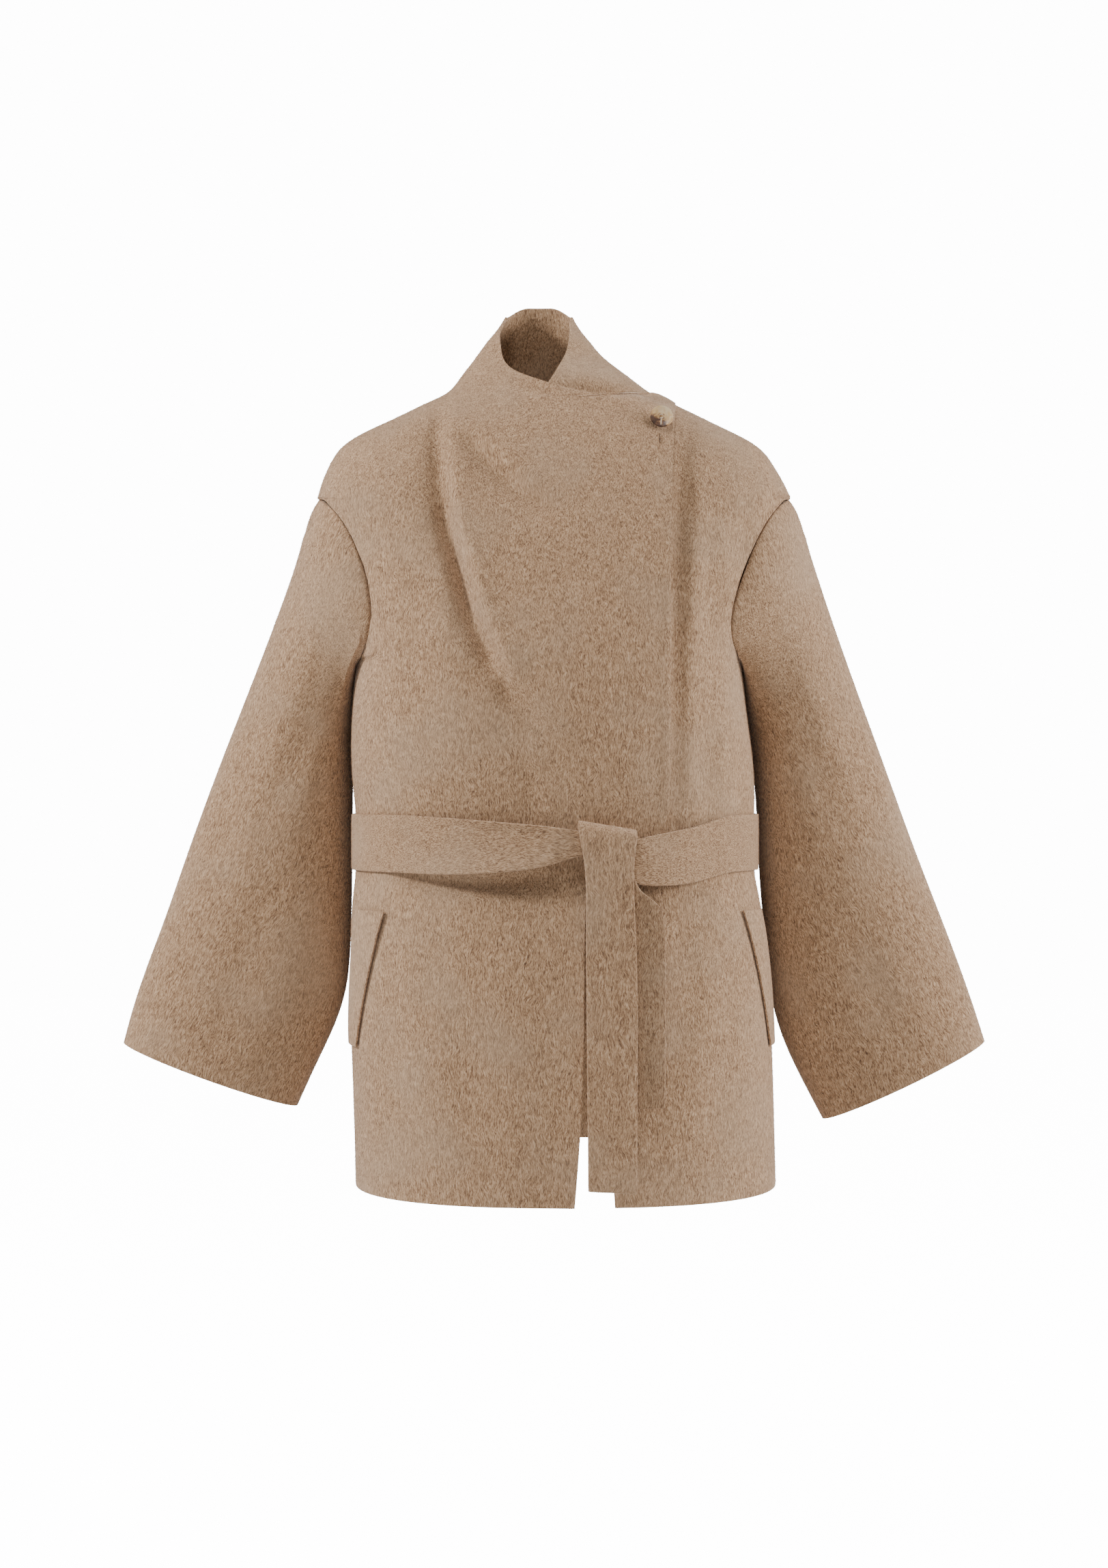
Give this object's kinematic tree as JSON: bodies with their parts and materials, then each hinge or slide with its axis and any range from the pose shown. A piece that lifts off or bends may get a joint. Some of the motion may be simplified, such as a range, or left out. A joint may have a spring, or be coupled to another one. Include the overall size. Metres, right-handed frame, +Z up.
{
  "type": "belted wrap jacket",
  "caption": "Short wrap jacket in brushed double wool with a grown-on funnel collar buttoned at one shoulder, wide sleeves, slanted welt pockets and a tied belt",
  "frame": {"origin": "middle of the neck between the two neck points, where the wearer's neck and shoulders hold the jacket", "axes": "+Z up, -Y to the front, +X to the jacket's left side"},
  "size_m": [0.854, 0.2983, 0.867],
  "materials": {
    "wool": "thick double-faced wool, brushed, beige and brown melange, nap running down",
    "belt_wool": "the same brushed wool, nap running along the belt",
    "horn": "polished horn, cream and caramel with a dark brown edge",
    "thread": "pale sewing thread"
  },
  "bodies": {
    "root": {"front_right": "wool", "front_left": "wool", "back": "wool", "sleeve_right": "wool", "sleeve_left": "wool", "pocket_welt_right": "wool", "pocket_welt_left": "wool", "belt_band": "belt_wool", "belt_tail_front": "belt_wool", "belt_tail_back": "belt_wool", "button": "horn", "button_thread": "thread"}
  },
  "joints": []
}
